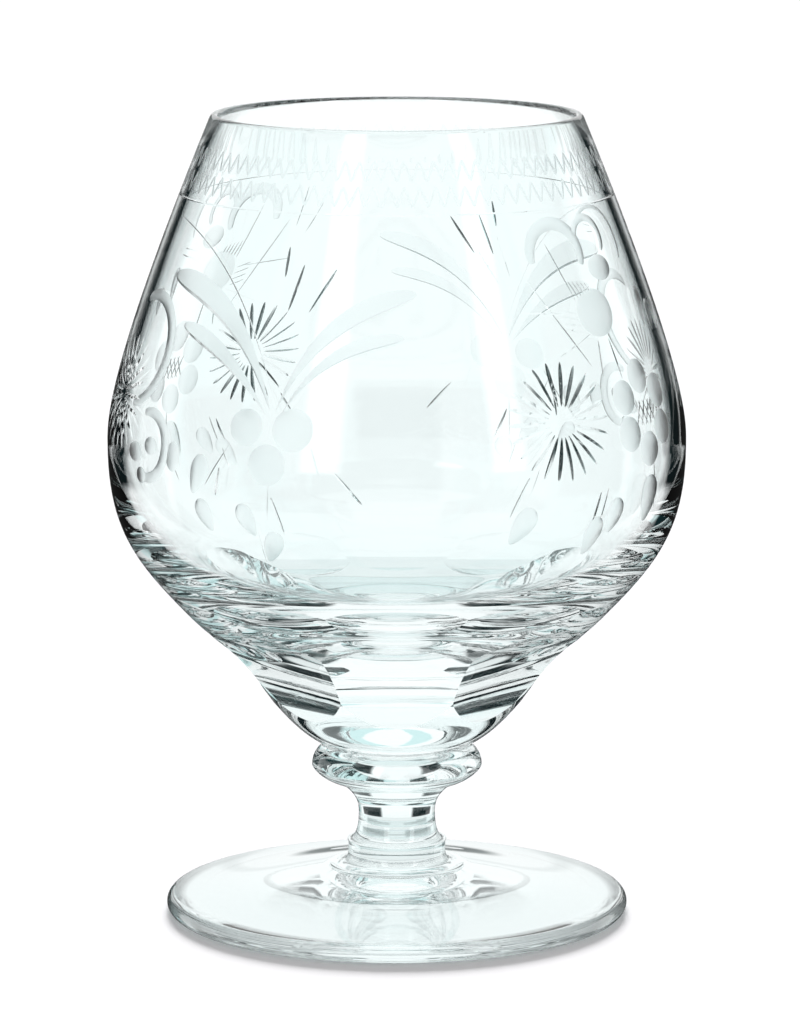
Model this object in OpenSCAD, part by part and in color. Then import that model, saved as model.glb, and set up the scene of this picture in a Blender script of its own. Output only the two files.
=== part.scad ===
// Brandy snifter of cut crystal: a wide bowl with a thick panel-cut base on a short waisted stem and a round foot.
// Five gathers of glass stand on each other with flat joints. Z is the axis, and the foot stands on Z = 0.

/* [Foot] */
// Outside diameter of the foot
foot_d = 75; // [66:1:90]
// Thickness of the foot's rounded edge
foot_edge_t = 3; // [2:0.1:4]
// Height of the flat pad in the middle of the foot
foot_pad_h = 7.4; // [6:0.1:9]
// Width of the pad left clear round the collar
foot_pad_margin = 0.3; // [0.1:0.1:2]
// Width of the flat ring that the foot stands on
foot_ring_w = 3; // [2:0.1:6]
// Rise of the hollow under the foot
foot_hollow_h = 3.6; // [1:0.1:4.4]

/* [Collar] */
// Height of the collar between foot and stem
collar_h = 4.2; // [3:0.1:6]
// Diameter of the collar's skirt on the foot
collar_skirt_d = 21.8; // [18:0.1:26]
// Thickness of the skirt's edge
collar_skirt_t = 0.4; // [0.2:0.1:0.8]
// Diameter of the collar's straight band
collar_band_d = 15.8; // [13:0.1:17]
// Height of the straight band
collar_band_h = 1.8; // [1:0.1:2.4]

/* [Stem] */
// Height of the stem
stem_h = 9.6; // [8:0.1:16]
// Diameter of the sharp ring at the bottom of the stem
stem_ring_d = 16.2; // [14:0.1:18]
// Diameter of the stem's waist
stem_waist_d = 12.4; // [10:0.1:13.5]
// Height of the waist above the bottom of the stem
stem_waist_rise = 4.6; // [3:0.1:6]
// Diameter of the stem where it meets the merese
stem_top_d = 18.4; // [15:0.1:20]

/* [Merese] */
// Height of the merese, the wafer under the bowl
merese_h = 6.2; // [5:0.1:9]
// Diameter of its edge
merese_d = 27.6; // [24:0.1:34]
// Height of the edge above the bottom of the merese
merese_edge_rise = 2.8; // [2:0.1:4]
// Diameter of the neck where the merese meets the bowl
neck_d = 21.6; // [18:0.1:23]

/* [Bowl] */
// Height of the bowl above its neck
bowl_h = 102.6; // [94:0.2:115]
// Outside diameter at the rim
rim_d = 59.6; // [52:0.2:68]
// Wall at the rim
rim_wall = 1.5; // [1:0.1:2.4]
// Lean of the wall at the rim, in degrees
rim_lean = 22.4; // [16:0.2:26]
// Largest outside diameter
belly_d = 93; // [86:0.5:100]
// Height of the widest ring above the neck
belly_rise = 49.6; // [45:0.2:54]
// Wall at the widest ring
belly_wall = 2.2; // [1.6:0.1:3.4]
// Thickness of the solid base under the cavity
base_t = 21.2; // [19:0.2:26]
// Diameter where the rounded bottom passes into the body
base_round_d = 41.6; // [40:0.2:44]
// Height of that ring above the neck
base_round_rise = 8.2; // [7:0.1:10]
// Lean of the wall at that ring, in degrees
base_round_lean = 41; // [37:0.2:44]

/* [Panel cuts] */
// Number of hollow panels round the base
panel_count = 8; // [6:1:10]
// Diameter of the cutting wheel
panel_wheel_d = 60; // [52:0.5:68]
// Distance between opposite wheels, at the height of their axles
panel_flats = 34.7; // [33:0.1:36.4]
// Depth of the wheel's axle below the neck
panel_axle_drop = 4.2; // [3:0.1:5.4]

/* [Hidden] */
$fn = 144;
crystal = [0.86, 0.93, 0.93, 0.55];

// Points on each curved stretch of a profile
curve_steps = 14;
lip_steps = 8;

// Heights at which each piece starts
collar_z = foot_pad_h;
stem_z = collar_z + collar_h;
merese_z = stem_z + stem_h;
bowl_z = merese_z + merese_h;

// Lengths of the handles of each curve, as shares of the rise and the run between its ends
foot_top_shares = [0.45, 0.4];
foot_under_shares = [0.5, 0.6];
foot_under_rise_share = 0.45;
skirt_shares = [0.75, 0.7];
ring_shares = [0.7, 0.6];
flare_shares = [0.5, 0.55];
merese_under_shares = [0.45, 0.5];
merese_over_shares = [0.55, 0.6];
bottom_shares = [0.44, 0.41];
bottom_rise_share = 0.18;
body_shares = [0.48, 0.46];
wall_shares = [0.06, 0.8];
cavity_shares = [0.6, 0.7];

// A point on a cubic curve with end points a and d and handles b and c
function on_curve(a, b, c, d, t) =
    pow(1 - t, 3) * a + 3 * t * pow(1 - t, 2) * b + 3 * t * t * (1 - t) * c + pow(t, 3) * d;
// The points of a curve after its first one
function curve(a, b, c, d, steps = curve_steps) =
    [for (i = [1 : steps]) on_curve(a, b, c, d, i / steps)];
// Points of an arc after its first one
function arc(centre, r, from, to, steps) =
    [for (i = [1 : steps]) let (angle = from + (to - from) * i / steps) centre + r * [cos(angle), sin(angle)]];

// Foot: a disc with a rounded edge, hollow below, its top rising to a flat pad
module foot() {
    edge_r = foot_edge_t / 2;
    edge_centre = [foot_d / 2 - edge_r, edge_r];
    ring_inner = [edge_centre[0] - foot_ring_w, 0];
    pad = [collar_skirt_d / 2 + foot_pad_margin, foot_pad_h];
    edge_top = edge_centre + [0, edge_r];
    run = edge_top[0] - pad[0];
    rise = pad[1] - edge_top[1];
    points = concat(
        [[0, foot_hollow_h]],
        curve([0, foot_hollow_h], [ring_inner[0] * foot_under_shares[0], foot_hollow_h],
              [ring_inner[0] * foot_under_shares[1], foot_hollow_h * foot_under_rise_share], ring_inner),
        [[edge_centre[0], 0]],
        arc(edge_centre, edge_r, -90, 90, 2 * lip_steps),
        curve(edge_top, edge_top + [-run * foot_top_shares[0], rise * foot_top_shares[0] / 2],
              pad + [run * foot_top_shares[1], -rise * foot_top_shares[1]], pad),
        [[0, foot_pad_h]]);
    color(crystal) rotate_extrude() polygon(points);
}

// Collar: a straight band over a flared skirt that spreads on the foot's pad
module collar() {
    band_r = collar_band_d / 2;
    skirt = [collar_skirt_d / 2, collar_skirt_t];
    band_foot = [band_r, collar_h - collar_band_h];
    run = skirt[0] - band_r;
    rise = band_foot[1] - skirt[1];
    points = concat(
        [[0, 0], [skirt[0], 0], skirt],
        curve(skirt, skirt - [run * skirt_shares[0], 0],
              band_foot - [0, rise * skirt_shares[1]], band_foot),
        [[band_r, collar_h], [0, collar_h]]);
    color(crystal) translate([0, 0, collar_z]) rotate_extrude() polygon(points);
}

// Stem: a short spool, hollowed to a waist between a sharp ring and a flared top
module stem() {
    ring = [stem_ring_d / 2, 0];
    waist = [stem_waist_d / 2, stem_waist_rise];
    top = [stem_top_d / 2, stem_h];
    points = concat(
        [[0, 0], ring],
        curve(ring, ring + [(waist[0] - ring[0]) * ring_shares[0], 0],
              waist - [0, waist[1] * ring_shares[1]], waist),
        curve(waist, waist + [0, (top[1] - waist[1]) * flare_shares[0]],
              top - [(top[0] - waist[0]) * flare_shares[1], (top[1] - waist[1]) * flare_shares[1] / 2], top),
        [[0, stem_h]]);
    color(crystal) translate([0, 0, stem_z]) rotate_extrude() polygon(points);
}

// Merese: a wafer with a rather sharp edge, rounded above towards the neck
module merese() {
    under = [stem_top_d / 2, 0];
    edge = [merese_d / 2, merese_edge_rise];
    neck = [neck_d / 2, merese_h];
    points = concat(
        [[0, 0], under],
        curve(under, under + [(edge[0] - under[0]) * merese_under_shares[0], edge[1] * bottom_rise_share],
              edge - [(edge[0] - under[0]) * bottom_rise_share, edge[1] * merese_under_shares[1]], edge),
        curve(edge, edge + [0, (neck[1] - edge[1]) * merese_over_shares[0]],
              neck + [(edge[0] - neck[0]) * merese_over_shares[1], 0], neck),
        [[0, merese_h]]);
    color(crystal) translate([0, 0, merese_z]) rotate_extrude() polygon(points);
}

// Profile of the blown bowl, up its outside, over the lip and down its inside
function bowl_points() =
    let (
        neck = [neck_d / 2, 0],
        base = [base_round_d / 2, base_round_rise],
        base_way = [tan(base_round_lean), 1],
        belly = [belly_d / 2, belly_rise],
        body_rise = belly_rise - base_round_rise,
        wall_rise = bowl_h - belly_rise,
        lip_r = rim_wall / 2,
        wall_way = [tan(rim_lean), -1],
        lip_out = [cos(rim_lean), sin(rim_lean)],
        lip_centre = [rim_d / 2 - lip_r * lip_out[0], bowl_h - lip_r],
        rim_outer = lip_centre + lip_r * lip_out,
        rim_inner = lip_centre - lip_r * lip_out,
        inner_belly = belly - [belly_wall, 0],
        floor_rise = belly_rise - base_t
    )
    concat(
        [[0, 0], neck],
        curve(neck, neck + [(base[0] - neck[0]) * bottom_shares[0], base[1] * bottom_rise_share],
              base - base_way * base_round_rise * bottom_shares[1], base),
        curve(base, base + base_way * body_rise * body_shares[0],
              belly - [0, body_rise * body_shares[1]], belly),
        curve(belly, belly + [0, wall_rise * wall_shares[0]],
              rim_outer + wall_way * wall_rise * wall_shares[1], rim_outer),
        arc(lip_centre, lip_r, rim_lean, rim_lean + 180, lip_steps),
        curve(rim_inner, rim_inner + wall_way * wall_rise * wall_shares[1],
              inner_belly + [0, wall_rise * wall_shares[0]], inner_belly),
        curve(inner_belly, inner_belly - [0, floor_rise * cavity_shares[0]],
              [inner_belly[0] * cavity_shares[1], base_t], [0, base_t]));

// Wheel that grinds one hollow panel, its axle level and square to the radius
module panel_wheel() {
    translate([panel_flats / 2 + panel_wheel_d / 2, 0, -panel_axle_drop])
        rotate([90, 0, 0])
            cylinder(d = panel_wheel_d, h = belly_d, center = true);
}

// Bowl: blown body with hollow panels ground round its solid base, the first one facing -Y
module bowl() {
    color(crystal) translate([0, 0, bowl_z]) difference() {
        rotate_extrude() polygon(bowl_points());
        for (i = [0 : panel_count - 1]) rotate(360 / panel_count * i - 90) panel_wheel();
    }
}

foot();
collar();
stem();
merese();
bowl();
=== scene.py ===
"""Brandy snifter of cut crystal: turned gathers, hollow panels, wheel-cut ornament and a white studio."""

import math
from bisect import bisect_right

import bmesh
import bpy
from bpy.props import FloatProperty, FloatVectorProperty, IntProperty, PointerProperty
from mathutils import Matrix, Vector


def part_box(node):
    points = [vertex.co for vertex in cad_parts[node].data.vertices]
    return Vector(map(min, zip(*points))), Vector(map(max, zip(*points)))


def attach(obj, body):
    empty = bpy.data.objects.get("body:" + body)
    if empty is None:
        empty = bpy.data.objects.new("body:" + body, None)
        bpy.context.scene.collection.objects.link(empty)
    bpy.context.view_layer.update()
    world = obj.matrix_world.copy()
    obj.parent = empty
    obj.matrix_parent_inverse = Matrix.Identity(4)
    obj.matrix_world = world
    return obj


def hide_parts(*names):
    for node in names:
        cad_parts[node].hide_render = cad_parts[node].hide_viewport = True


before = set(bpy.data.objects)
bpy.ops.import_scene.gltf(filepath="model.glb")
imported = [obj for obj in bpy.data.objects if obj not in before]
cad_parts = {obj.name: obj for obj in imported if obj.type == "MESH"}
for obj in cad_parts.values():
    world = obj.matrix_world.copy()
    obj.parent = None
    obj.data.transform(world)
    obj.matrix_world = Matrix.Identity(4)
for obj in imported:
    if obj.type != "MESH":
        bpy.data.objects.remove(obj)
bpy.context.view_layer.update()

bl_info = {
    "name": "Cut crystal snifter",
    "version": (1, 0, 0),
    "blender": (4, 5, 0),
    "location": "View3D > Sidebar > Snifter",
    "description": "Turns, cuts and stages a brandy snifter of cut crystal",
    "category": "Add Mesh",
}

MM = 0.001

# Material slots of the glass: polished wall, fused joint, ground panel, satin cut and polished mitre cut
CRYSTAL, JOINT, PANEL, SATIN, MITRE = range(5)


def hex_colour(code):
    """Linear colour of an sRGB hex code."""
    shares = [int(code[i:i + 2], 16) / 255 for i in (0, 2, 4)]
    return tuple(s / 12.92 if s <= 0.04045 else ((s + 0.055) / 1.055) ** 2.4 for s in shares)


def length(name, description, millimetres):
    """A length that a user can set, with its default in millimetres."""
    return FloatProperty(name=name, description=description, default=millimetres * MM, unit="LENGTH",
                         precision=5)


def angle(name, description, degrees):
    """An angle that a user can set, with its default in degrees."""
    return FloatProperty(name=name, description=description, default=math.radians(degrees), unit="ROTATION")


def colour(name, description, code):
    """A colour that a user can set, with its default as an sRGB hex code."""
    return FloatVectorProperty(name=name, description=description, default=hex_colour(code), subtype="COLOR",
                               size=3, min=0.0, max=1.0)


def share(name, description, value):
    """A plain number that a user can set."""
    return FloatProperty(name=name, description=description, default=value)


class SnifterShape(bpy.types.PropertyGroup):
    """Sizes of the turned glass, apart from the outer ones, which come from the frame."""

    foot_edge: length("Foot edge", "Thickness of the foot's rounded edge", 3.0)
    pad_margin: length("Pad margin", "Width of the foot's pad left clear round the collar", 0.3)
    foot_ring: length("Foot ring", "Width of the flat ring that the foot stands on", 3.0)
    foot_hollow: length("Foot hollow", "Rise of the hollow under the foot", 3.6)
    skirt_edge: length("Skirt edge", "Thickness of the collar's skirt at its edge", 0.4)
    band_d: length("Band", "Diameter of the collar's straight band", 15.8)
    band_h: length("Band height", "Height of the collar's straight band", 1.8)
    ring_d: length("Stem ring", "Diameter of the sharp ring at the bottom of the stem", 16.2)
    waist_d: length("Waist", "Diameter of the stem's waist", 12.4)
    waist_rise: length("Waist rise", "Height of the waist above the bottom of the stem", 4.6)
    wafer_rise: length("Merese edge rise", "Height of the merese's edge above its bottom", 2.8)
    neck_d: length("Neck", "Diameter of the neck where the merese meets the bowl", 21.6)
    rim_d: length("Rim", "Outside diameter at the rim", 59.6)
    rim_wall: length("Rim wall", "Wall at the rim", 1.5)
    rim_lean: angle("Rim lean", "Lean of the wall at the rim", 22.4)
    belly_rise: length("Belly rise", "Height of the widest ring above the neck", 49.6)
    belly_wall: length("Belly wall", "Wall at the widest ring", 2.2)
    base_t: length("Base", "Thickness of the solid base under the cavity", 21.2)
    base_round_d: length("Base round", "Diameter where the rounded bottom passes into the body", 41.6)
    base_round_rise: length("Base round rise", "Height of that ring above the neck", 8.2)
    base_round_lean: angle("Base round lean", "Lean of the wall at that ring", 41.0)
    panel_count: IntProperty(name="Panels", description="Number of hollow panels round the base", default=8)
    panel_wheel_d: length("Panel wheel", "Diameter of the wheel that cuts the panels", 60.0)
    panel_wheel_w: length("Panel wheel width", "Width of the wheel that cuts the panels", 34.0)
    panel_flats: length("Panel flats", "Distance between opposite wheels, at the height of their axles", 34.7)
    panel_axle_drop: length("Panel axle drop", "Depth of the wheels' axles below the neck", 4.2)


class SnifterOrnament(bpy.types.PropertyGroup):
    """Sizes of the wheel cuts on the bowl."""

    mitre_w: length("Mitre width", "Width of a thin mitre line", 0.3)
    mitre_depth: length("Mitre depth", "Depth of a thin mitre line", 0.055)
    stroke_w: length("Stroke width", "Width of a bold mitre stroke", 0.45)
    stroke_depth: length("Stroke depth", "Depth of a bold mitre stroke", 0.17)
    ray_count: IntProperty(name="Star rays", description="Number of rays of a star", default=22)
    ray_inner: length("Ray start", "Distance of a ray's inner end from the middle of its star", 2.4)
    ray_outer: length("Ray end", "Distance of a ray's outer end from the middle of its star", 9.4)
    ray_w: length("Ray width", "Width of a ray", 0.75)
    ray_depth: length("Ray depth", "Depth of a ray", 0.21)
    dish_depth: length("Dish depth", "Depth of the round satin dishes", 0.2)
    leaf_depth: length("Leaf depth", "Depth of the long satin leaves at their deep edge", 0.26)
    scroll_share: share("Scroll depth", "Depth of a satin scroll as a share of its width", 0.06)
    petal_count: IntProperty(name="Petals", description="Petals of a flower", default=6)
    petal_reach: length("Petal reach", "Distance of a petal's middle from the middle of its flower", 5.8)
    petal_r: length("Petal", "Half the width of a petal", 2.8)
    tooth_count: IntProperty(name="Zigzag teeth", description="Teeth in each row of the zigzag", default=88)
    tooth_w: length("Zigzag width", "Width of the zigzag's strokes", 0.5)
    tooth_depth: length("Zigzag depth", "Depth of the zigzag's strokes", 0.04)
    line_h: length("Ring line", "Height of the ring line above the table", 117.5)
    line_w: length("Ring line width", "Width of the ring line", 0.4)
    line_depth: length("Ring line depth", "Depth of the ring line", 0.05)


class SnifterFinish(bpy.types.PropertyGroup):
    """Colours of the glass and of the studio that shows through it."""

    crystal: colour("Crystal", "Tint of the polished crystal", "F8FDFD")
    solid_crystal: colour("Solid crystal", "Tint of the crystal where it is thick", "F1FAFA")
    satin: colour("Satin", "Tint of the ground cuts", "F3FBFB")
    wall: colour("Studio wall", "Colour of the studio's tinted walls at the sides", "DCF8F8")
    card: colour("Dark card", "Colour of the dark cards behind and above the glass", "03171A")
    side_card: colour("Side card", "Colour of the dark cards at the sides and behind the camera", "0A2A2D")
    floor: colour("Floor", "Colour of the floor", "F7F6F8")
    # Painted shade: the dark colour on the glowing paper under the foot's front edge
    rim_shade: colour("Rim shade", "Colour of the floor in the shade under the foot's edge", "1C3437")
    # Painted light: the glow of the paper under the foot, where light would come down through the glass
    lit_floor: colour("Lit floor", "Colour of the floor under the foot, lit through the glass", "FAFCFC")


class SnifterStage(bpy.types.PropertyGroup):
    """Where the camera stands and what the studio holds."""

    camera_place: FloatVectorProperty(name="Camera", description="Place of the camera", size=3, unit="LENGTH",
                                      subtype="XYZ", default=(0.00051, -0.8301, 0.20844))
    camera_pitch: angle("Camera pitch", "How far the camera looks down", 9.818)
    lens_mm: share("Lens", "Focal length of the camera in millimetres", 181.93)
    sensor_mm: share("Sensor", "Height of the camera's sensor in millimetres", 36.0)
    floor_r: length("Floor", "Radius of the floor", 3000.0)
    table_r: length("Table top", "Radius of the floor that shows through the foot", 60.0)
    glow: share("Glow", "Share of the floor's white that no shadow reaches", 0.12)
    fill: share("Fill", "Strength of the studio's soft light", 0.38)
    sun: share("Sun", "Strength of the low light from behind the glass", 5.5)
    sun_rise: angle("Sun height", "Height of the low light over the floor", 25)
    sun_spread: angle("Sun spread", "Width of the low light as seen from the glass", 22)
    back_light: share("Back light", "Brightness of the white room behind the glass", 1.12)
    room: share("Room", "Brightness of the rest of the room that polished faces mirror", 0.02)
    screen: share("Screen", "Brightness of the mirrored screen behind the glass", 1.0)
    side_light: share("Side light", "Brightness of the mirrored lights beside the glass", 1.2)
    soft_box: share("Soft box", "Brightness of the mirrored soft boxes", 3.0)


# Steps round the turned glass, the panel wheel and the floor, and along the outlines
TURN_STEPS = 192
WHEEL_STEPS = 360
DISC_STEPS = 96
BOTTOM_STEPS = 16
CURVE_STEPS = 24
WALL_STEPS = 32
LIP_STEPS = 10
# Points nearer than this are one
WELD = 1e-7
# Bends of the outlines: how far each curve leaves its start and arrives at its end,
# as shares of its run and of its rise
HOLLOW_SHARES = ((0.5, 0), (0.4, 0.45))
FOOT_TOP_SHARES = ((0.45, 0.225), (0.4, 0.4))
SKIRT_SHARES = ((0.75, 0), (0, 0.7))
SPOOL_LOWER_SHARES = ((0.7, 0), (0, 0.6))
SPOOL_UPPER_SHARES = ((0, 0.5), (0.55, 0.275))
WAFER_UNDER_SHARES = ((0.45, 0.18), (0.18, 0.5))
WAFER_TOP_SHARES = ((0, 0.55), (0.6, 0))
CAVITY_SHARES = ((0, 0.6), (0.7, 0))
# Bends of the bowl's wall, as shares of the rise of each stretch; at the neck, of its run and rise
NECK_SHARES = (0.44, 0.18)
BOTTOM_SHARE = 0.41
BODY_SHARE = 0.48
BELLY_LOWER_SHARE = 0.46
BELLY_UPPER_SHARE = 0.06
RIM_SHARE = 0.8


def curve(start, leave, arrive, end, steps=CURVE_STEPS):
    """Points of a cubic curve after its first one."""
    points = []
    for i in range(1, steps + 1):
        t = i / steps
        s = 1 - t
        points.append(start * s ** 3 + leave * (3 * t * s ** 2) + arrive * (3 * t ** 2 * s) + end * t ** 3)
    return points


def bend(start, end, shares, steps=CURVE_STEPS):
    """Points of a curve after its first one, bent by shares of its run and rise."""
    way = end - start
    leave, arrive = [Vector((way.x * across, way.y * up)) for across, up in shares]
    return curve(start, start + leave, end - arrive, end, steps)


def arc(centre, radius, first, last, steps):
    """Points of an arc after its first one, with angles in radians."""
    turns = [first + (last - first) * i / steps for i in range(1, steps + 1)]
    return [centre + radius * Vector((math.cos(turn), math.sin(turn))) for turn in turns]


def bottom_of(node):
    """Height of a CAD node's bottom."""
    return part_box(node)[0].z


def top_of(node):
    """Height of a CAD node's top."""
    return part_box(node)[1].z


def height_of(node):
    """Height of a CAD node from its bottom to its top."""
    return top_of(node) - bottom_of(node)


def radius_of(node):
    """Outer radius of a CAD node."""
    low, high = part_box(node)
    return (high.x - low.x) / 2


def foot_outline(shape):
    """Foot: from the hollow below, round the edge, to the flat pad under the collar."""
    height = height_of("foot")
    skirt_r = radius_of("collar")
    edge_r = shape.foot_edge / 2
    edge = Vector((radius_of("foot") - edge_r, edge_r))
    ring = Vector((edge.x - shape.foot_ring, 0))
    hollow = Vector((0, shape.foot_hollow))
    pad = Vector((skirt_r + shape.pad_margin, height))
    under = bend(hollow, ring, HOLLOW_SHARES)
    lip = arc(edge, edge_r, -math.pi / 2, math.pi / 2, 2 * LIP_STEPS)
    over = bend(edge + Vector((0, edge_r)), pad, FOOT_TOP_SHARES)
    flat = [Vector((skirt_r, height)), Vector((0, height))]
    return [hollow] + under + [Vector((edge.x, 0))] + lip + over + flat


def collar_outline(shape):
    """Collar: a flared skirt on the foot's pad under a straight band."""
    height = height_of("collar")
    skirt = Vector((radius_of("collar"), shape.skirt_edge))
    band = Vector((shape.band_d / 2, height - shape.band_h))
    flare = bend(skirt, band, SKIRT_SHARES)
    flat = [Vector((band.x, height)), Vector((0, height))]
    return [Vector((0, 0)), Vector((skirt.x, 0)), skirt] + flare + flat


def stem_outline(shape):
    """Stem: a spool, hollowed to a waist between a sharp ring and a flared top."""
    height = height_of("stem")
    ring = Vector((shape.ring_d / 2, 0))
    waist = Vector((shape.waist_d / 2, shape.waist_rise))
    top = Vector((radius_of("stem"), height))
    lower = bend(ring, waist, SPOOL_LOWER_SHARES)
    upper = bend(waist, top, SPOOL_UPPER_SHARES)
    return [Vector((0, 0)), Vector((shape.band_d / 2, 0)), ring] + lower + upper + [Vector((0, height))]


def merese_outline(shape):
    """Merese: a wafer with a rather sharp edge, rounded above towards the neck."""
    height = height_of("merese")
    under = Vector((radius_of("stem"), 0))
    edge = Vector((radius_of("merese"), shape.wafer_rise))
    neck = Vector((shape.neck_d / 2, height))
    lower = bend(under, edge, WAFER_UNDER_SHARES)
    upper = bend(edge, neck, WAFER_TOP_SHARES)
    return [Vector((0, 0)), under] + lower + upper + [Vector((0, height))]


def lip_radius(shape):
    """From the middle of the rounded lip out to the wall's outside."""
    return Vector((math.cos(shape.rim_lean), math.sin(shape.rim_lean))) * shape.rim_wall / 2


def lip_centre(shape):
    """Middle of the rounded lip."""
    return Vector((shape.rim_d / 2 - lip_radius(shape).x, height_of("bowl") - shape.rim_wall / 2))


def wall_bends(shape, belly, rim):
    """Where the wall between belly and rim bends to: upright over the belly, and leaning below the rim."""
    rise = height_of("bowl") - shape.belly_rise
    rim_way = Vector((math.tan(shape.rim_lean), -1))
    return belly + Vector((0, rise * BELLY_UPPER_SHARE)), rim + rim_way * rise * RIM_SHARE


def bowl_outside(shape):
    """Outside of the bowl, from the neck up to where the lip starts."""
    neck = Vector((shape.neck_d / 2, 0))
    base = Vector((shape.base_round_d / 2, shape.base_round_rise))
    base_way = Vector((math.tan(shape.base_round_lean), 1))
    belly = Vector((radius_of("bowl"), shape.belly_rise))
    rim = lip_centre(shape) + lip_radius(shape)
    body_rise = belly.y - base.y
    neck_bend = neck + Vector(((base.x - neck.x) * NECK_SHARES[0], base.y * NECK_SHARES[1]))
    belly_bend = belly - Vector((0, body_rise * BELLY_LOWER_SHARE))
    over_belly, under_rim = wall_bends(shape, belly, rim)
    under = curve(neck, neck_bend, base - base_way * base.y * BOTTOM_SHARE, base, BOTTOM_STEPS)
    body = curve(base, base + base_way * body_rise * BODY_SHARE, belly_bend, belly, WALL_STEPS)
    wall = curve(belly, over_belly, under_rim, rim, WALL_STEPS)
    return [neck] + under + body + wall


def bowl_outline(shape):
    """Bowl: up the outside, over the lip and down the inside to the thick base."""
    belly = Vector((radius_of("bowl") - shape.belly_wall, shape.belly_rise))
    rim = lip_centre(shape) - lip_radius(shape)
    over_belly, under_rim = wall_bends(shape, belly, rim)
    lip = arc(lip_centre(shape), shape.rim_wall / 2, shape.rim_lean, shape.rim_lean + math.pi, LIP_STEPS)
    wall = curve(rim, under_rim, over_belly, belly, WALL_STEPS)
    cavity = bend(belly, Vector((0, shape.base_t)), CAVITY_SHARES, WALL_STEPS)
    return [Vector((0, 0))] + bowl_outside(shape) + lip + wall + cavity


def spin_round(mesh, corners, closed=False):
    """Spin an outline of points in space once round the axis."""
    points = [mesh.verts.new(corner) for corner in corners]
    ends = points[1:] + points[:1] if closed else points[1:]
    edges = [mesh.edges.new(pair) for pair in zip(points, ends)]
    bmesh.ops.spin(mesh, geom=points + edges, cent=(0, 0, 0), axis=(0, 0, 1), angle=math.tau,
                   steps=TURN_STEPS, use_merge=True)


def turned(outline, height):
    """A closed mesh: an outline of radii and heights, spun round the axis at its place."""
    mesh = bmesh.new()
    spin_round(mesh, [(point.x, 0, point.y + height) for point in outline])
    bmesh.ops.remove_doubles(mesh, verts=mesh.verts, dist=WELD)
    bmesh.ops.recalc_face_normals(mesh, faces=mesh.faces)
    return mesh


# Edges sharper than this catch the light as a line, on the turned glass and inside a cut
TURNED_EDGE = math.radians(32)
CUT_EDGE = math.radians(25)


def set_joint(mesh, height, radius):
    """Give a flat joint, a disc at one height, the fused finish."""
    for face in mesh.faces:
        middle = face.calc_center_median()
        if abs(middle.z - height) < WELD and middle.to_2d().length < radius:
            face.material_index = JOINT


def smooth(mesh, limit):
    """Shade a mesh round, with creases between finishes and at sharp edges."""
    for face in mesh.faces:
        face.smooth = True
    for edge in mesh.edges:
        first, second = edge.link_faces
        one_finish = first.material_index == second.material_index
        edge.smooth = one_finish and edge.calc_face_angle() < limit


def make_object(name, mesh, materials):
    """An object at the origin from a bmesh, which is freed."""
    data = bpy.data.meshes.new(name)
    mesh.to_mesh(data)
    mesh.free()
    for material in materials:
        data.materials.append(material)
    piece = bpy.data.objects.new(name, data)
    bpy.context.collection.objects.link(piece)
    return piece


def make_gather(name, node, outline, joints):
    """One turned gather of glass in place of its CAD node."""
    mesh = turned(outline, bottom_of(node))
    for height, radius in joints:
        set_joint(mesh, height, radius)
    smooth(mesh, TURNED_EDGE)
    piece = make_object(name, mesh, glass_finishes())
    put_in_frame(piece, node)
    return piece


def let_light_through(piece):
    """Clear glass over the foot lets light down to the floor, so that only the foot shades it."""
    piece.visible_shadow = False
    piece.visible_diffuse = False


def put_in_frame(piece, node):
    """Let a piece ride on the one body and stand for its CAD node."""
    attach(piece, "root")
    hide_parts(node)


def add_node(tree, kind, inputs=None, stops=None, **settings):
    """Add a node with its settings; inputs are values or sockets, stops a ramp's places and colours."""
    node = tree.nodes.new(kind)
    for name, value in settings.items():
        setattr(node, name, value)
    for name, value in (inputs or {}).items():
        if isinstance(value, bpy.types.NodeSocket):
            tree.links.new(value, node.inputs[name])
        else:
            node.inputs[name].default_value = value
    if stops:
        elements = node.color_ramp.elements
        elements.remove(elements[-1])
        elements[0].position = stops[0][0]
        elements[0].color = stops[0][1]
        for place, tone in stops[1:]:
            elements.new(place).color = tone
    return node


def new_tree(name):
    """A new material's empty node tree, and the material."""
    material = bpy.data.materials.new(name)
    material.use_nodes = True
    material.node_tree.nodes.clear()
    return material, material.node_tree


# Sockets of a colour mix, whose names are shared by its other kinds of value
MIX_A, MIX_B, MIX_RESULT = 6, 7, 2
# Crystal with lead bends light a little more than window glass
CRYSTAL_IOR = 1.54
# Glass is not quite even: its waves are this long, and higher where it was blown than where it was ground
WAVE_LENGTH = 18 * MM
WAVE_DETAIL = 1.0
BLOWN_WAVE = 0.006 * MM
PANEL_WAVE = 0.003 * MM
# The tint of the solid base passes into that of the wall over this height, up and down
TINT_FADE = 8 * MM
# Grit of the stone wheel, drawn coarser than it is so that it shows
SATIN_GRIT = 0.35 * MM
SATIN_HEIGHT = 0.005 * MM
# Least and greatest roughness of the satin cuts, left dull, and of the mitre cuts, polished with felt
SATIN_ROUGHNESS = (0.26, 0.36)
FELT_ROUGHNESS = (0.02, 0.1)


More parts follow.
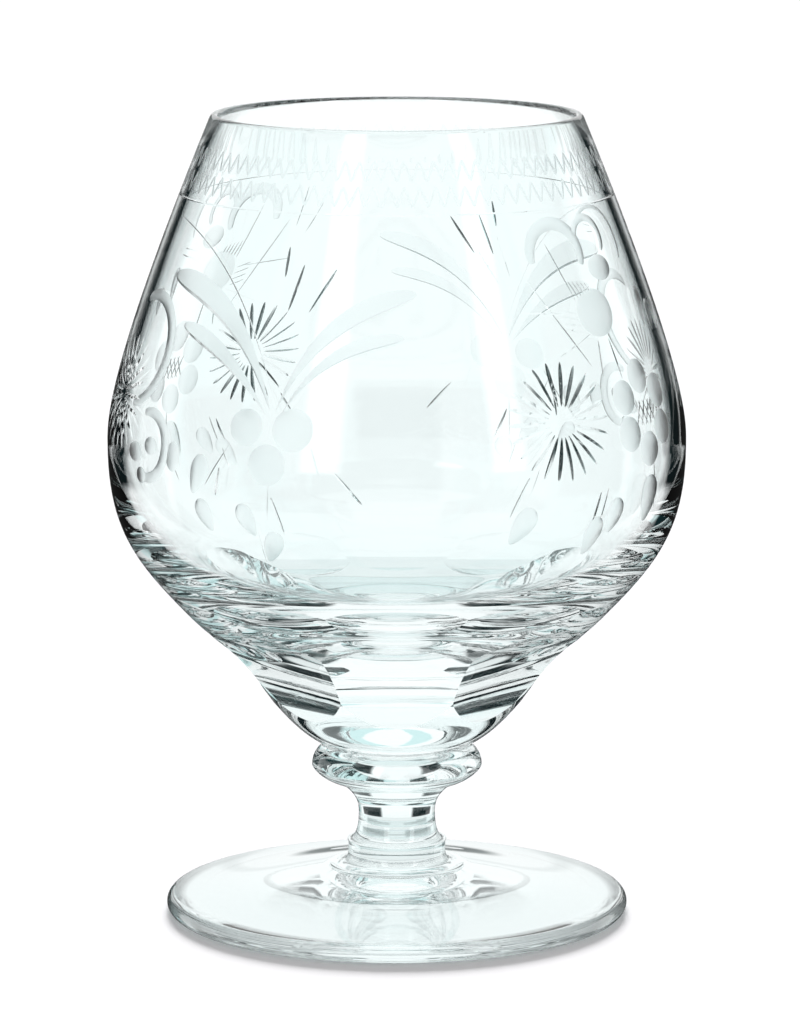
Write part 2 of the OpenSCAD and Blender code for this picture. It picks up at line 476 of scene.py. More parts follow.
def clear_crystal(name, finish, wave_height):
    """Lead crystal with a bright surface and faint waves, and a trace of blue-green where it is thick."""
    material, tree = new_tree(name)
    place = add_node(tree, "ShaderNodeTexCoord")
    solid_top = bottom_of("bowl") + bpy.context.scene.snifter_shape.base_t
    way = add_node(tree, "ShaderNodeSeparateXYZ", {"Vector": place.outputs["Object"]})
    thin = add_node(tree, "ShaderNodeMapRange", {"Value": way.outputs["Z"], "From Min": solid_top - TINT_FADE,
                                                 "From Max": solid_top + TINT_FADE})
    tint = add_node(tree, "ShaderNodeMix", {
        "Factor": thin.outputs["Result"], MIX_A: (*finish.solid_crystal, 1), MIX_B: (*finish.crystal, 1)},
        data_type="RGBA")
    waves = add_node(tree, "ShaderNodeTexNoise", {"Vector": place.outputs["Object"], "Scale": 1 / WAVE_LENGTH,
                                                  "Detail": WAVE_DETAIL})
    bump = add_node(tree, "ShaderNodeBump", {"Height": waves.outputs["Fac"], "Distance": wave_height})
    glass = add_node(tree, "ShaderNodeBsdfPrincipled", {
        "Base Color": tint.outputs[MIX_RESULT], "Roughness": 0.0, "IOR": CRYSTAL_IOR,
        "Transmission Weight": 1.0, "Normal": bump.outputs["Normal"]})
    add_node(tree, "ShaderNodeOutputMaterial", {"Surface": glass.outputs["BSDF"]})
    return material


def fused_joint():
    """Where two gathers were fused hot there is no surface left, so nothing shows."""
    material, tree = new_tree("lead_crystal_fused_joint")
    glass = add_node(tree, "ShaderNodeBsdfPrincipled", {"Alpha": 0.0})
    add_node(tree, "ShaderNodeOutputMaterial", {"Surface": glass.outputs["BSDF"]})
    return material


def wheel_cut(name, tint, roughness, grain=0.0):
    """Lead crystal cut by a wheel: uneven in roughness, with a grain where the stone's grit is left in it."""
    material, tree = new_tree(name)
    place = add_node(tree, "ShaderNodeTexCoord")
    grit = add_node(tree, "ShaderNodeTexNoise", {"Vector": place.outputs["Object"], "Scale": 1 / SATIN_GRIT})
    dull = add_node(tree, "ShaderNodeMapRange", {"Value": grit.outputs["Fac"], "To Min": roughness[0],
                                                 "To Max": roughness[1]})
    glass = add_node(tree, "ShaderNodeBsdfPrincipled", {
        "Base Color": (*tint, 1), "Roughness": dull.outputs["Result"], "IOR": CRYSTAL_IOR,
        "Transmission Weight": 1.0})
    if grain:
        bump = add_node(tree, "ShaderNodeBump", {"Height": grit.outputs["Fac"], "Distance": grain})
        tree.links.new(bump.outputs["Normal"], glass.inputs["Normal"])
    add_node(tree, "ShaderNodeOutputMaterial", {"Surface": glass.outputs["BSDF"]})
    return material


def glass_finishes():
    """The glass materials in the order of their slots, made once."""
    finish = bpy.context.scene.snifter_finish
    if "lead_crystal_polished" not in bpy.data.materials:
        clear_crystal("lead_crystal_polished", finish, BLOWN_WAVE)
        fused_joint()
        clear_crystal("lead_crystal_panel_cut", finish, PANEL_WAVE)
        wheel_cut("lead_crystal_satin_cut", finish.satin, SATIN_ROUGHNESS, SATIN_HEIGHT)
        wheel_cut("lead_crystal_mitre_cut", finish.crystal, FELT_ROUGHNESS)
    names = ["polished", "fused_joint", "panel_cut", "satin_cut", "mitre_cut"]
    return [bpy.data.materials["lead_crystal_" + name] for name in names]


class Wall:
    """Outside of the bowl, measured along its outline from the neck up."""

    def __init__(self, outline, height):
        self.points = [point + Vector((0, height)) for point in outline]
        self.heights = [point.y for point in self.points]
        self.ways = [0.0]
        for start, end in zip(self.points, self.points[1:]):
            self.ways.append(self.ways[-1] + (end - start).length)
        steps = [self.points[1] - self.points[0]]
        steps += [after - before for before, after in zip(self.points[:-2], self.points[2:])]
        steps.append(self.points[-1] - self.points[-2])
        self.faces = [Vector((step.y, -step.x)).normalized() for step in steps]

    def spot(self, azimuth, height):
        """A place on the wall, from degrees off the front and millimetres up, as an angle and a way."""
        index = min(bisect_right(self.heights, height * MM), len(self.heights) - 1)
        low, high = self.heights[index - 1], self.heights[index]
        part = (height * MM - low) / (high - low)
        way = self.ways[index - 1] + part * (self.ways[index] - self.ways[index - 1])
        return Vector((math.radians(azimuth), way))

    def at(self, way):
        """Point of the outline at a way along it, and the direction that the wall faces there."""
        index = max(1, min(bisect_right(self.ways, way), len(self.ways) - 1))
        part = (way - self.ways[index - 1]) / (self.ways[index] - self.ways[index - 1])
        point = self.points[index - 1].lerp(self.points[index], part)
        return point, self.faces[index - 1].lerp(self.faces[index], part).normalized()

    def beside(self, spot, right, up):
        """A spot moved along the wall by two lengths."""
        way = spot.y + up
        return Vector((spot.x + right / self.at(way)[0].x, way))

    def place(self, spot, out):
        """A point in space, over a spot by a length."""
        point, face = self.at(spot.y)
        point = point + face * out
        return Vector((point.x * math.sin(spot.x), -point.x * math.cos(spot.x), point.y))


def stroke(wall, start, end, bow=0.0):
    """A path between two spots, from -1 to 1, bowed to its left by a share of its length."""
    girth = wall.at((start.y + end.y) / 2)[0].x
    chord = Vector(((end.x - start.x) * girth, end.y - start.y))
    left = Vector((-chord.y, chord.x)) * bow

    def path(along):
        spot = start.lerp(end, (along + 1) / 2)
        heading = (chord / 2 - left * 2 * along).normalized()
        return wall.beside(spot, left.x * (1 - along ** 2), left.y * (1 - along ** 2)), heading

    return path


def scroll(wall, centre, radius, first, last):
    """A path along an arc round a spot, from -1 to 1, with angles in degrees from level."""

    def path(along):
        turn = math.radians(first + (last - first) * (along + 1) / 2)
        outwards = Vector((math.cos(turn), math.sin(turn)))
        heading = Vector((-outwards.y, outwards.x)) * math.copysign(1, last - first)
        return wall.beside(centre, outwards.x * radius, outwards.y * radius), heading

    return path


def lay_cut(cutters, wall, path, width, depth, sides=4, rings=12, blunt=1.0, taper=0.0, lean=0.0, lift=0.0):
    """Lay one spindle-shaped cutter along a path on the wall.

    Four sides cut a V and more sides cut a trough. Blunt below 1 rounds the ends, taper thins the far end,
    lean moves the deepest line to the left, and lift raises the spindle so that only a shallow cap cuts.
    """
    spindle = bmesh.ops.create_uvsphere(cutters, u_segments=sides, v_segments=rings, radius=1.0)
    full = depth / (1 - lift)
    spread = 1 / math.sqrt(1 - lift ** 2)
    for vertex in spindle["verts"]:
        along = vertex.co.z
        girth = vertex.co.to_2d().length
        swell = (1 - taper * along) * (girth ** (blunt - 1) if girth > WELD else 0)
        down = max(0.0, -vertex.co.y)
        left = (vertex.co.x + lean * down) * swell * spread * width / 2
        spot, heading = path(along * spread)
        spot = wall.beside(spot, -heading.y * left, heading.x * left)
        vertex.co = wall.place(spot, (vertex.co.y * swell + lift) * full)


# What each kind of cutter has other than that of a plain mitre line; leaves and rays widen towards the tip
DISH_CUTTER = dict(sides=24, rings=16, lift=0.6)
DROP_CUTTER = dict(sides=16, rings=16, taper=0.45, lift=0.3)
LEAF_CUTTER = dict(rings=24, taper=-0.8)
SCROLL_CUTTER = dict(sides=8, rings=28, blunt=0.4)
VEIN_CUTTER = dict(rings=32)
HATCH_CUTTER = dict(rings=8)
RAY_CUTTER = dict(taper=-0.15)
TOOTH_CUTTER = dict(rings=6, blunt=0.4)
# The ring line's cutter stands out of the wall by this share of its depth
LINE_OVER = 0.25


def lay_dish(cutters, wall, spot, half_w, half_h, depth):
    """A shallow oval dish."""
    path = stroke(wall, wall.beside(spot, 0, -half_h), wall.beside(spot, 0, half_h))
    lay_cut(cutters, wall, path, 2 * half_w, depth, **DISH_CUTTER)


def cut(piece, cutters, finish):
    """Take cutters out of a piece, and leave their finish on what they cut."""
    bmesh.ops.recalc_face_normals(cutters, faces=cutters.faces)
    for face in cutters.faces:
        face.material_index = finish
        face.smooth = True
    wheel = make_object("wheel", cutters, piece.data.materials)
    change = piece.modifiers.new("cut", "BOOLEAN")
    change.operation = "DIFFERENCE"
    change.solver = "MANIFOLD"
    change.object = wheel
    graph = bpy.context.evaluated_depsgraph_get()
    whole = piece.data
    piece.data = bpy.data.meshes.new_from_object(piece.evaluated_get(graph), preserve_all_data_layers=True,
                                                 depsgraph=graph)
    piece.modifiers.clear()
    bpy.data.meshes.remove(whole)
    bpy.data.meshes.remove(wheel.data)


def cut_both_sides(piece, cutters, finish):
    """Cut the front, and half a turn on the back, because it is cut as the front is."""
    copy = bmesh.ops.duplicate(cutters, geom=cutters.verts[:] + cutters.edges[:] + cutters.faces[:])
    points = [item for item in copy["geom"] if isinstance(item, bmesh.types.BMVert)]
    bmesh.ops.rotate(cutters, verts=points, cent=(0, 0, 0), matrix=Matrix.Rotation(math.pi, 3, "Z"))
    cut(piece, cutters, finish)


# Places of the ornament on one side: degrees off the front, and millimetres above the table.
# Stars: middles
STARS = ((34, 86), (105, 87))
# Long leaves: root, tip, width, bow and lean of the deep edge; they meet at the root, so they are cut in turn
LEAVES = (
    ((-25.5, 88), (-62.5, 106.5), 3.2, -0.165, 0.8), ((-24.5, 88), (4.5, 106), 2.5, 0.155, -0.8),
    ((-26.5, 87.5), (-53, 99.5), 2.2, -0.1, 0.8), ((-23, 88), (1.5, 99.5), 1.8, 0.145, -0.8),
)
# Round berries: middle and radius
BERRIES = (((-30.5, 85.5), 2.9), ((-20.5, 85.5), 3.4), ((-25.5, 80), 3.2))
# Ovals of the bud and the small leaves: middle, half width and half height
OVALS = (
    ((49.5, 101.5), 4.2, 3.9), ((55.5, 108), 3.0, 2.1), ((-62, 79), 2.2, 1.6), ((-56, 80.5), 1.8, 1.4),
    ((-48.5, 79.5), 1.7, 2.4), ((-59.5, 75.5), 1.5, 1.3),
)
# Drops: round end, point and width
DROPS = (
    ((-40, 80.5), (-43, 74), 3.2), ((-41.5, 73.5), (-38, 68.5), 2.8), ((-31.5, 73.5), (-28, 68.5), 2.8),
    ((-23.5, 69.5), (-26, 64.5), 3.0), ((27, 73), (22, 67.5), 3.4), ((43, 70.5), (39.5, 64.5), 3.2),
    ((48.5, 73), (45.5, 67.5), 3.2), ((59.5, 75.5), (57, 68), 4.4), ((70, 104), (68.5, 97.5), 2.4),
    ((79, 101.5), (77, 96.5), 2.6),
)
# Scrolls and tendrils: middle, radius, first and last angle, width
SCROLLS = (
    ((41.5, 110.5), 5.2, 190, -20, 2.2), ((58.5, 111.5), 6.0, 150, -30, 0.7),
    ((54.5, 112.5), 3.4, 190, -40, 1.3), ((-68, 94.5), 8.8, 120, -80, 2.2),
    ((-57.5, 80.5), 5.2, 110, -110, 2.0),
)
# Flower: middle
FLOWER = (58.5, 85.5)
# Bold mitre strokes: the ends of each
STROKES = (
    ((-26.5, 112.5), (-26.5, 108)), ((-22, 110), (-24.5, 103)), ((-14, 109.5), (-19.5, 103)),
    ((-36, 79), (-37, 74.5)), ((-24.5, 75), (-22, 69.5)), ((-12, 79.5), (-6.5, 74.5)), ((26, 78), (22, 72)),
    ((43, 74.5), (41, 69.5)),
)
# Thin mitre lines: the ends of each; lines that cross are cut in turn
LINES = (
    (
        ((29, 109.5), (44.5, 93.5)), ((48, 97.5), (47, 92)), ((51.5, 97.5), (53, 91)),
        ((-27.5, 69.5), (-26.5, 64.5)), ((-13, 74.5), (-10, 70)), ((-16.5, 83), (-14.5, 78)),
        ((-33.5, 83), (-39.5, 76)), ((60, 77.5), (61, 70)), ((-62, 110.5), (-58.5, 110.5)),
        ((25, 115), (27, 108)), ((12, 113), (16, 109)),
    ),
    (
        ((38.5, 112.5), (44, 103.5)), ((32, 94.5), (46, 98.5)), ((-25, 77), (-25.5, 70)),
        ((-35.5, 82), (-33.5, 79)), ((-53.5, 85.5), (-46.5, 76)), ((28, 79), (25, 73)),
        ((45, 75), (43, 69.5)), ((-62.5, 109.5), (-59, 109.3)), ((20, 112), (24, 107)),
        ((27, 102.5), (41, 102)),
    ),
)
# Fine line that follows the longest leaf: root, tip and bow
VEIN = ((-25.5, 90.5), (-72, 115), -0.16)
# Hatching beside the bud and across the flower: first stroke, step from stroke to stroke, and how many
HATCHES = (
    (
        (((43, 106.5), (45, 104)), (1.3, -0.1), 5), (((38.5, 102.5), (43, 101.8)), (0.4, -1.0), 4),
        (((55, 83.5), (57.5, 87.5)), (1.6, 0), 4),
    ),
    (
        (((57.5, 83.5), (55, 87.5)), (1.6, 0), 4),
    ),
)
# Rows of the zigzag: bottom and top
ROWS = ((118.6, 121.8), (122.4, 125.6))


def cut_stars(piece, wall, sizes):
    """Stars of polished mitre rays round a clear middle."""
    cutters = bmesh.new()
    for star in STARS:
        middle = wall.spot(*star)
        for i in range(sizes.ray_count):
            turn = math.tau * i / sizes.ray_count
            right, up = math.cos(turn), math.sin(turn)
            start = wall.beside(middle, right * sizes.ray_inner, up * sizes.ray_inner)
            end = wall.beside(middle, right * sizes.ray_outer, up * sizes.ray_outer)
            lay_cut(cutters, wall, stroke(wall, start, end), sizes.ray_w, sizes.ray_depth, **RAY_CUTTER)
    cut_both_sides(piece, cutters, MITRE)


def cut_leaves(piece, wall, sizes):
    """Long satin leaves, deep along one edge."""
    for root, tip, width, bow, lean in LEAVES:
        cutters = bmesh.new()
        path = stroke(wall, wall.spot(*root), wall.spot(*tip), bow)
        lay_cut(cutters, wall, path, width * MM, sizes.leaf_depth, lean=lean, **LEAF_CUTTER)
        cut_both_sides(piece, cutters, SATIN)


def cut_dishes(piece, wall, sizes):
    """Satin dishes: berries, the bud, small leaves, the flower's petals and drops."""
    cutters = bmesh.new()
    for place, radius in BERRIES:
        lay_dish(cutters, wall, wall.spot(*place), radius * MM, radius * MM, sizes.dish_depth)
    for place, half_w, half_h in OVALS:
        lay_dish(cutters, wall, wall.spot(*place), half_w * MM, half_h * MM, sizes.dish_depth)
    for i in range(sizes.petal_count):
        turn = math.tau * (i + 0.5) / sizes.petal_count
        right, up = math.cos(turn) * sizes.petal_reach, math.sin(turn) * sizes.petal_reach
        petal = wall.beside(wall.spot(*FLOWER), right, up)
        lay_dish(cutters, wall, petal, sizes.petal_r, sizes.petal_r, sizes.dish_depth)
    for start, end, width in DROPS:
        path = stroke(wall, wall.spot(*start), wall.spot(*end))
        lay_cut(cutters, wall, path, width * MM, sizes.dish_depth, **DROP_CUTTER)
    cut_both_sides(piece, cutters, SATIN)


def cut_scrolls(piece, wall, sizes):
    """Satin scrolls and tendrils of even width, cut in turn because some meet."""
    for place, radius, first, last, width in SCROLLS:
        cutters = bmesh.new()
        path = scroll(wall, wall.spot(*place), radius * MM, first, last)
        lay_cut(cutters, wall, path, width * MM, width * MM * sizes.scroll_share, **SCROLL_CUTTER)
        cut_both_sides(piece, cutters, SATIN)


def cut_lines(piece, wall, sizes):
    """Polished mitre strokes and thin lines, the vein along the longest leaf, and hatching."""
    groups = [(STROKES, sizes.stroke_w, sizes.stroke_depth)]
    groups += [(group, sizes.mitre_w, sizes.mitre_depth) for group in LINES]
    for group, width, depth in groups:
        cutters = bmesh.new()
        for start, end in group:
            lay_cut(cutters, wall, stroke(wall, wall.spot(*start), wall.spot(*end)), width, depth)
        cut_both_sides(piece, cutters, MITRE)
    cutters = bmesh.new()
    root, tip, bow = VEIN
    path = stroke(wall, wall.spot(*root), wall.spot(*tip), bow)
    lay_cut(cutters, wall, path, sizes.mitre_w, sizes.mitre_depth, **VEIN_CUTTER)
    cut_both_sides(piece, cutters, MITRE)
    for group in HATCHES:
        cutters = bmesh.new()
        for (start, end), (right, up), count in group:
            for i in range(count):
                path = stroke(wall, wall.spot(start[0] + right * i, start[1] + up * i),
                              wall.spot(end[0] + right * i, end[1] + up * i))
                lay_cut(cutters, wall, path, sizes.mitre_w, sizes.mitre_depth, **HATCH_CUTTER)
        cut_both_sides(piece, cutters, MITRE)


def cut_zigzag(piece, wall, sizes):
    """Two rows of satin zigzag under the rim, and the ring line below them."""
    step = 360 / sizes.tooth_count
    for rise in (1, -1):
        cutters = bmesh.new()
        for low, high in ROWS:
            for i in range(sizes.tooth_count):
                path = stroke(wall, wall.spot(step * i, low), wall.spot(step * (i + rise / 2), high))
                lay_cut(cutters, wall, path, sizes.tooth_w, sizes.tooth_depth, **TOOTH_CUTTER)
        cut(piece, cutters, SATIN)
    line = wall.spot(0, sizes.line_h / MM)
    half_w = sizes.line_w / 2
    over = sizes.line_depth * LINE_OVER
    profile = ((-half_w, over), (0, -sizes.line_depth), (half_w, over))
    cutters = bmesh.new()
    spin_round(cutters, [wall.place(wall.beside(line, 0, up), out) for up, out in profile], closed=True)
    cut(piece, cutters, MITRE)


def cut_panels(piece, shape):
    """Hollow panels round the solid base, every other one at a time because neighbours meet."""
    wheel_r = shape.panel_wheel_d / 2
    axle = bottom_of("bowl") - shape.panel_axle_drop
    reach = (shape.panel_flats + shape.panel_wheel_d) / 2
    for first in (0, 1):
        cutters = bmesh.new()
        for i in range(first, shape.panel_count, 2):
            place = (Matrix.Rotation(math.tau * i / shape.panel_count, 4, "Z")
                     @ Matrix.Translation((0, -reach, axle)) @ Matrix.Rotation(math.pi / 2, 4, "Y"))
            bmesh.ops.create_cone(cutters, cap_ends=True, segments=WHEEL_STEPS, radius1=wheel_r,
                                  radius2=wheel_r, depth=shape.panel_wheel_w, matrix=place)
        cut(piece, cutters, PANEL)


TURNED_NORMAL = "turned_normal"
# On a sliver of wall a stored normal may point away; it is kept only where it lies this near the face's own
SLIVER_TURN = 0.8


def keep_normals(data):
    """Store the turned wall's smooth normals, so that the cuts don't disturb them."""
    normals = [0.0] * (3 * len(data.loops))
    data.corner_normals.foreach_get("vector", normals)
    held = data.attributes.new(TURNED_NORMAL, "FLOAT_VECTOR", "CORNER")
    held.data.foreach_set("vector", normals)


def restore_normals(data):
    """Crease the cuts' edges, and give what is left of the wall its smooth normals back."""
    mesh = bmesh.new()
    mesh.from_mesh(data)
    smooth(mesh, CUT_EDGE)
    mesh.to_mesh(data)
    mesh.free()
    held = data.attributes[TURNED_NORMAL]
    normals = [corner.vector.copy() for corner in data.corner_normals]
    for face in data.polygons:
        if face.material_index in (CRYSTAL, JOINT):
            for corner in face.loop_indices:
                normal = held.data[corner].vector.normalized()
                if normal.dot(face.normal) > SLIVER_TURN:
                    normals[corner] = normal
    data.normals_split_custom_set(normals)
    data.attributes.remove(data.attributes[TURNED_NORMAL])


class SNIFTER_OT_foot(bpy.types.Operator):
    """Make the round foot, hollow below"""

    bl_idname = "snifter.foot"
    bl_label = "Foot"

    def execute(self, context):
        shape = context.scene.snifter_shape
        joints = [(top_of("foot"), radius_of("collar"))]
        make_gather("crystal_foot", "foot", foot_outline(shape), joints)
        return {"FINISHED"}


class SNIFTER_OT_collar(bpy.types.Operator):
    """Make the collar, a band with a flared skirt"""

    bl_idname = "snifter.collar"
    bl_label = "Collar"

    def execute(self, context):
        shape = context.scene.snifter_shape
        joints = [(bottom_of("collar"), radius_of("collar")), (top_of("collar"), shape.band_d / 2)]
        piece = make_gather("crystal_collar", "collar", collar_outline(shape), joints)
        let_light_through(piece)
        return {"FINISHED"}


class SNIFTER_OT_stem(bpy.types.Operator):
    """Make the short waisted stem"""

    bl_idname = "snifter.stem"
    bl_label = "Stem"

    def execute(self, context):
        shape = context.scene.snifter_shape
        joints = [(bottom_of("stem"), shape.band_d / 2), (top_of("stem"), radius_of("stem"))]
        piece = make_gather("crystal_stem", "stem", stem_outline(shape), joints)
        let_light_through(piece)
        return {"FINISHED"}


class SNIFTER_OT_merese(bpy.types.Operator):
    """Make the merese, the wafer under the bowl"""

    bl_idname = "snifter.merese"
    bl_label = "Merese"

    def execute(self, context):
        shape = context.scene.snifter_shape
        joints = [(bottom_of("merese"), radius_of("stem")), (top_of("merese"), shape.neck_d / 2)]
        piece = make_gather("crystal_merese", "merese", merese_outline(shape), joints)
        let_light_through(piece)
        return {"FINISHED"}


class SNIFTER_OT_bowl(bpy.types.Operator):
    """Make the bowl and cut its panels and ornament"""

    bl_idname = "snifter.bowl"
    bl_label = "Bowl"

    def execute(self, context):
        shape = context.scene.snifter_shape
        sizes = context.scene.snifter_ornament
        joints = [(bottom_of("bowl"), shape.neck_d / 2)]
        piece = make_gather("cut_crystal_bowl", "bowl", bowl_outline(shape), joints)
        let_light_through(piece)
        keep_normals(piece.data)
        wall = Wall(bowl_outside(shape), bottom_of("bowl"))
        cut_panels(piece, shape)
        cut_leaves(piece, wall, sizes)
        cut_dishes(piece, wall, sizes)
        cut_scrolls(piece, wall, sizes)
        cut_lines(piece, wall, sizes)
        cut_stars(piece, wall, sizes)
        cut_zigzag(piece, wall, sizes)
        restore_normals(piece.data)
        return {"FINISHED"}


# Studio as seen from the glass, in degrees: azimuths go from straight behind it towards the right.
# Walls and cards in the white room, which show through the glass: colour, foot, top, and two edges for each
CARD_ROWS = (
    ("wall", -90, 90, ((-150, -112), (64, 116))),
    ("side_card", -20, 22, ((-180, -116), (74, 110), (162, 180))),
    ("card", -20, 12, ((-52, -17), (17, 52))),
    ("card", 48, 74, ((-150, -55), (55, 150))),
)
# Lights in a dim room, which polished faces mirror: brightness, foot, top, and two edges for each
LIGHT_ROWS = (
    ("screen", -4, 6, ((-8, 8),)),
    ("screen", 6, 60, ((-24, 24),)),
    ("screen", 62, 90, ((-180, 180),)),
    ("side_light", -25, 20, ((-80, -44), (44, 80))),
    ("soft_box", -3, 49, ((-158, -142), (128, 142))),
)
# Half the width of their soft edges
EDGE_SOFT = 1.5


def grey(value):
    """A grey for a ramp."""
    return (value, value, value, 1)


def band_stops(bands, soft, outside, inside, first, last):
    """Stops of a ramp over an angle from first to last, with soft-edged bands of another value."""
    span = last - first
    stops = [(0.0, grey(inside if bands[0][0] <= first else outside))]
    for low, high in bands:
        edges = ((low - soft, outside), (low + soft, inside), (high - soft, inside), (high + soft, outside))
        stops += [((place - first) / span, grey(value)) for place, value in edges
                  if first + soft < place < last - soft]
    return stops + [(1.0, stops[-1][1])]


def hang_row(tree, round_share, up_share, room, tone, foot, top, bands):
    """Hang a row of cards or lights of one tone in a room, and give the room's new colour."""
    across = add_node(tree, "ShaderNodeValToRGB", {"Fac": round_share.outputs[0]},
                      stops=band_stops(bands, EDGE_SOFT, 0, 1, -180, 180))
    upright = add_node(tree, "ShaderNodeValToRGB", {"Fac": up_share.outputs[0]},
                       stops=band_stops([(foot, top)], EDGE_SOFT, 0, 1, -90, 90))
    row = add_node(tree, "ShaderNodeMath", {0: across.outputs["Color"], 1: upright.outputs["Color"]},
                   operation="MULTIPLY")
    hung = add_node(tree, "ShaderNodeMix", {"Factor": row.outputs[0], MIX_A: room, MIX_B: tone},
                    data_type="RGBA")
    return hung.outputs[MIX_RESULT]


def studio_world(finish, stage):
    """White room for the eye, with cards that show through the glass and lights that it mirrors."""
    world = bpy.data.worlds.new("studio")
    world.use_nodes = True
    tree = world.node_tree
    tree.nodes.clear()
    rays = add_node(tree, "ShaderNodeLightPath")
    place = add_node(tree, "ShaderNodeTexCoord")
    way = add_node(tree, "ShaderNodeSeparateXYZ", {"Vector": place.outputs["Generated"]})
    azimuth = add_node(tree, "ShaderNodeMath", {0: way.outputs["X"], 1: way.outputs["Y"]},
                       operation="ARCTAN2")
    round_share = add_node(tree, "ShaderNodeMapRange", {"Value": azimuth.outputs[0], "From Min": -math.pi,
                                                        "From Max": math.pi})
    elevation = add_node(tree, "ShaderNodeMath", {0: way.outputs["Z"]}, operation="ARCSINE")
    up_share = add_node(tree, "ShaderNodeMapRange", {"Value": elevation.outputs[0], "From Min": -math.pi / 2,
                                                     "From Max": math.pi / 2})
    through = grey(stage.back_light)
    for tone, *row in CARD_ROWS:
        through = hang_row(tree, round_share, up_share, through, (*getattr(finish, tone), 1), *row)
    mirrored = grey(stage.room)
    for tone, *row in LIGHT_ROWS:
        mirrored = hang_row(tree, round_share, up_share, mirrored, grey(getattr(stage, tone)), *row)
    glass_sees = add_node(tree, "ShaderNodeMix", {
        "Factor": rays.outputs["Is Transmission Ray"], MIX_A: mirrored, MIX_B: through}, data_type="RGBA")
    eye_sees = add_node(tree, "ShaderNodeMix", {
        "Factor": rays.outputs["Is Camera Ray"], MIX_A: glass_sees.outputs[MIX_RESULT], MIX_B: grey(1)},
        data_type="RGBA")
    seen = add_node(tree, "ShaderNodeBackground", {"Color": eye_sees.outputs[MIX_RESULT], "Strength": 1.0})
    soft_light = add_node(tree, "ShaderNodeBackground", {"Color": grey(1), "Strength": stage.fill})
    mix = add_node(tree, "ShaderNodeMixShader", {0: rays.outputs["Is Diffuse Ray"], 1: seen.outputs[0],
                                                 2: soft_light.outputs[0]})
    add_node(tree, "ShaderNodeOutputWorld", {"Surface": mix.outputs[0]})
    return world


def floor_paper(finish, stage):
    """Matt white paper: part of its white is even, and the rest takes the shadow."""
    material, tree = new_tree("studio_paper")
    rays = add_node(tree, "ShaderNodeLightPath")
    even = add_node(tree, "ShaderNodeMath", {0: rays.outputs["Is Camera Ray"], 1: stage.glow},
                    operation="MULTIPLY")
    paper = add_node(tree, "ShaderNodeBsdfDiffuse", {"Color": (*finish.floor, 1)})
    white = add_node(tree, "ShaderNodeEmission", {"Color": grey(1), "Strength": 1.0})
    mix = add_node(tree, "ShaderNodeMixShader", {0: even.outputs[0], 1: paper.outputs[0],
                                                 2: white.outputs[0]})
    add_node(tree, "ShaderNodeOutputMaterial", {"Surface": mix.outputs[0]})
    return material


# Painted shade on the paper round the foot's edge: distance from the edge, outwards, and share of the full
# shade
RIM_SHADE = ((-3.5 * MM, 0), (-2.0 * MM, 1), (0.2 * MM, 1), (1.5 * MM, 0))
# The low light comes from behind, so the painted shade fades towards the back, over this share of the foot's
# radius
SHADE_TURN = 0.8


def lit_paper(finish, stage):
    """The paper under the foot glows: painted light where light would come down through the glass, and
    painted shade under the front edge.
    """
    material, tree = new_tree("studio_lit_paper")
    place = add_node(tree, "ShaderNodeTexCoord")
    reach = add_node(tree, "ShaderNodeVectorMath", {0: place.outputs["Object"]}, operation="LENGTH")
    part = add_node(tree, "ShaderNodeMapRange", {"Value": reach.outputs["Value"], "From Max": stage.table_r})
    edge = radius_of("foot")
    shade = add_node(tree, "ShaderNodeValToRGB", {"Fac": part.outputs["Result"]},
                     stops=[((edge + out) / stage.table_r, grey(value)) for out, value in RIM_SHADE])
    way = add_node(tree, "ShaderNodeSeparateXYZ", {"Vector": place.outputs["Object"]})
    front = add_node(tree, "ShaderNodeMapRange", {"Value": way.outputs["Y"], "From Min": edge * SHADE_TURN,
                                                  "From Max": 0.0})
    shaded = add_node(tree, "ShaderNodeMath", {0: shade.outputs["Color"], 1: front.outputs["Result"]},
                      operation="MULTIPLY")
    tone = add_node(tree, "ShaderNodeMix", {
        "Factor": shaded.outputs[0], MIX_A: (*finish.lit_floor, 1), MIX_B: (*finish.rim_shade, 1)},
        data_type="RGBA")
    light = add_node(tree, "ShaderNodeEmission", {"Color": tone.outputs[MIX_RESULT], "Strength": 1.0})
    add_node(tree, "ShaderNodeOutputMaterial", {"Surface": light.outputs[0]})
    return material


# The lit paper lies this far under the foot, and the floor as far under it, so that no two share a plane
FLOOR_GAP = 0.02 * MM
# How far the camera sees, in metres
CLIP_END = 50
# How often light may pass on inside the glass, and how often it may be mirrored
PASS_BOUNCES = 32
MIRROR_BOUNCES = 16


def lay_disc(name, radius, gap, material):
    """A flat disc of the stage, a little under the foot."""
    mesh = bmesh.new()
    bmesh.ops.create_circle(mesh, cap_ends=True, segments=DISC_STEPS, radius=radius,
                            matrix=Matrix.Translation((0, 0, -gap)))
    disc = make_object(name, mesh, [material])
    return disc


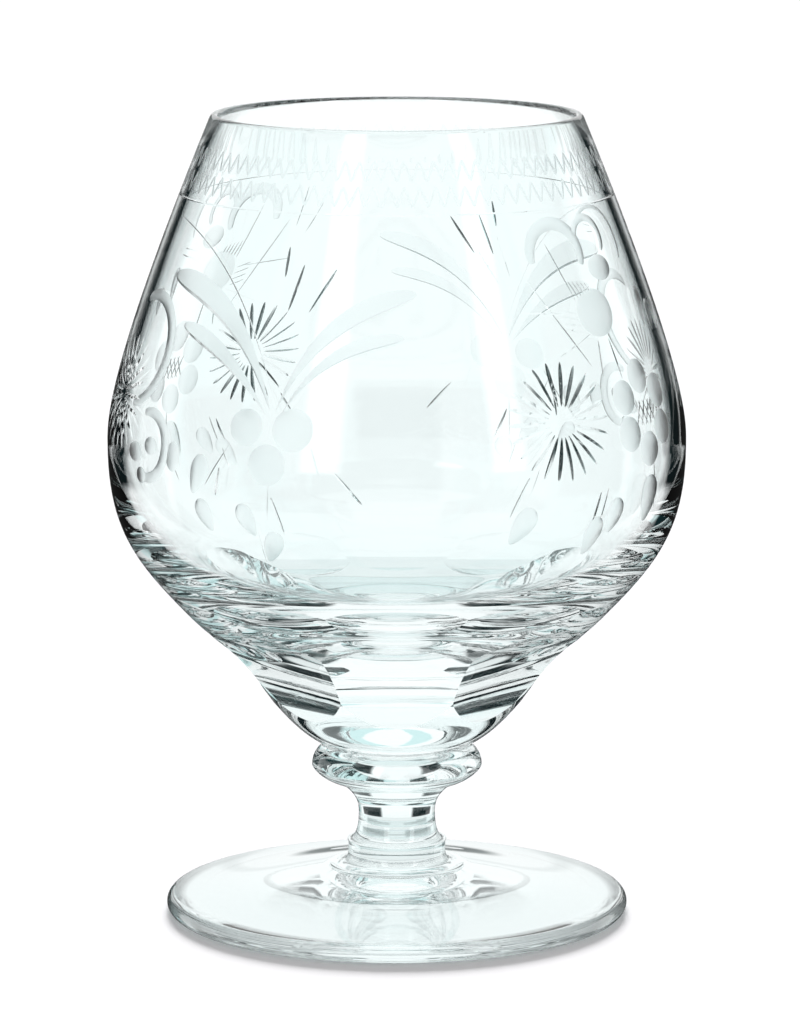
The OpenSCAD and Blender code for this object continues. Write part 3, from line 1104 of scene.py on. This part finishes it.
class SNIFTER_OT_stage(bpy.types.Operator):
    """Lay the floor and set the room, the camera and the view"""

    bl_idname = "snifter.stage"
    bl_label = "Stage"

    def execute(self, context):
        scene = context.scene
        stage = scene.snifter_stage
        finish = scene.snifter_finish
        floor = lay_disc("floor", stage.floor_r, 2 * FLOOR_GAP, floor_paper(finish, stage))
        floor.visible_glossy = False
        floor.visible_transmission = False
        # The table top glows with painted light and painted shade, and it is seen only through the glass
        table_top = lay_disc("table_top", stage.table_r, FLOOR_GAP, lit_paper(finish, stage))
        for kind in ("camera", "diffuse", "glossy", "shadow"):
            setattr(table_top, "visible_" + kind, False)
        scene.world = studio_world(finish, stage)
        light = bpy.data.lights.new("low_light", "SUN")
        light.energy = stage.sun
        light.angle = stage.sun_spread
        lamp = bpy.data.objects.new("low_light", light)
        lamp.rotation_euler = (math.pi / 2 - stage.sun_rise, 0, math.pi)
        lamp.visible_glossy = False
        lamp.visible_transmission = False
        scene.collection.objects.link(lamp)
        lens = bpy.data.cameras.new("camera")
        lens.sensor_fit = "VERTICAL"
        lens.sensor_height = stage.sensor_mm
        lens.lens = stage.lens_mm
        lens.clip_end = CLIP_END
        camera = bpy.data.objects.new("camera", lens)
        camera.location = stage.camera_place
        camera.rotation_euler = (math.pi / 2 - stage.camera_pitch, 0, 0)
        scene.collection.objects.link(camera)
        scene.camera = camera
        scene.view_settings.view_transform = "Standard"
        scene.cycles.max_bounces = PASS_BOUNCES
        scene.cycles.transmission_bounces = PASS_BOUNCES
        scene.cycles.glossy_bounces = MIRROR_BOUNCES
        scene.cycles.transparent_max_bounces = PASS_BOUNCES
        return {"FINISHED"}


class SNIFTER_PT_sidebar(bpy.types.Panel):
    """Lists the snifter's pieces and their sizes"""

    bl_idname = "SNIFTER_PT_sidebar"
    bl_label = "Cut crystal snifter"
    bl_space_type = "VIEW_3D"
    bl_region_type = "UI"
    bl_category = "Snifter"

    def draw(self, context):
        for operator in OPERATORS:
            self.layout.operator(operator.bl_idname)
        for group in GROUPS:
            values = getattr(context.scene, group)
            box = self.layout.box()
            for name in values.__annotations__:
                box.prop(values, name)


GROUPS = {
    "snifter_shape": SnifterShape,
    "snifter_ornament": SnifterOrnament,
    "snifter_finish": SnifterFinish,
    "snifter_stage": SnifterStage,
}
OPERATORS = (SNIFTER_OT_foot, SNIFTER_OT_collar, SNIFTER_OT_stem, SNIFTER_OT_merese, SNIFTER_OT_bowl,
             SNIFTER_OT_stage)


def register():
    """Add the classes to Blender, and the sizes to its scenes."""
    for name, group in GROUPS.items():
        bpy.utils.register_class(group)
        setattr(bpy.types.Scene, name, PointerProperty(type=group))
    for kind in OPERATORS + (SNIFTER_PT_sidebar,):
        bpy.utils.register_class(kind)


def unregister():
    """Take the classes and sizes out again."""
    for kind in reversed(OPERATORS + (SNIFTER_PT_sidebar,)):
        bpy.utils.unregister_class(kind)
    for name, group in GROUPS.items():
        delattr(bpy.types.Scene, name)
        bpy.utils.unregister_class(group)


def main():
    """Build every piece and the stage."""
    register()
    bpy.ops.snifter.foot()
    bpy.ops.snifter.collar()
    bpy.ops.snifter.stem()
    bpy.ops.snifter.merese()
    bpy.ops.snifter.bowl()
    bpy.ops.snifter.stage()


if __name__ == "__main__":
    main()
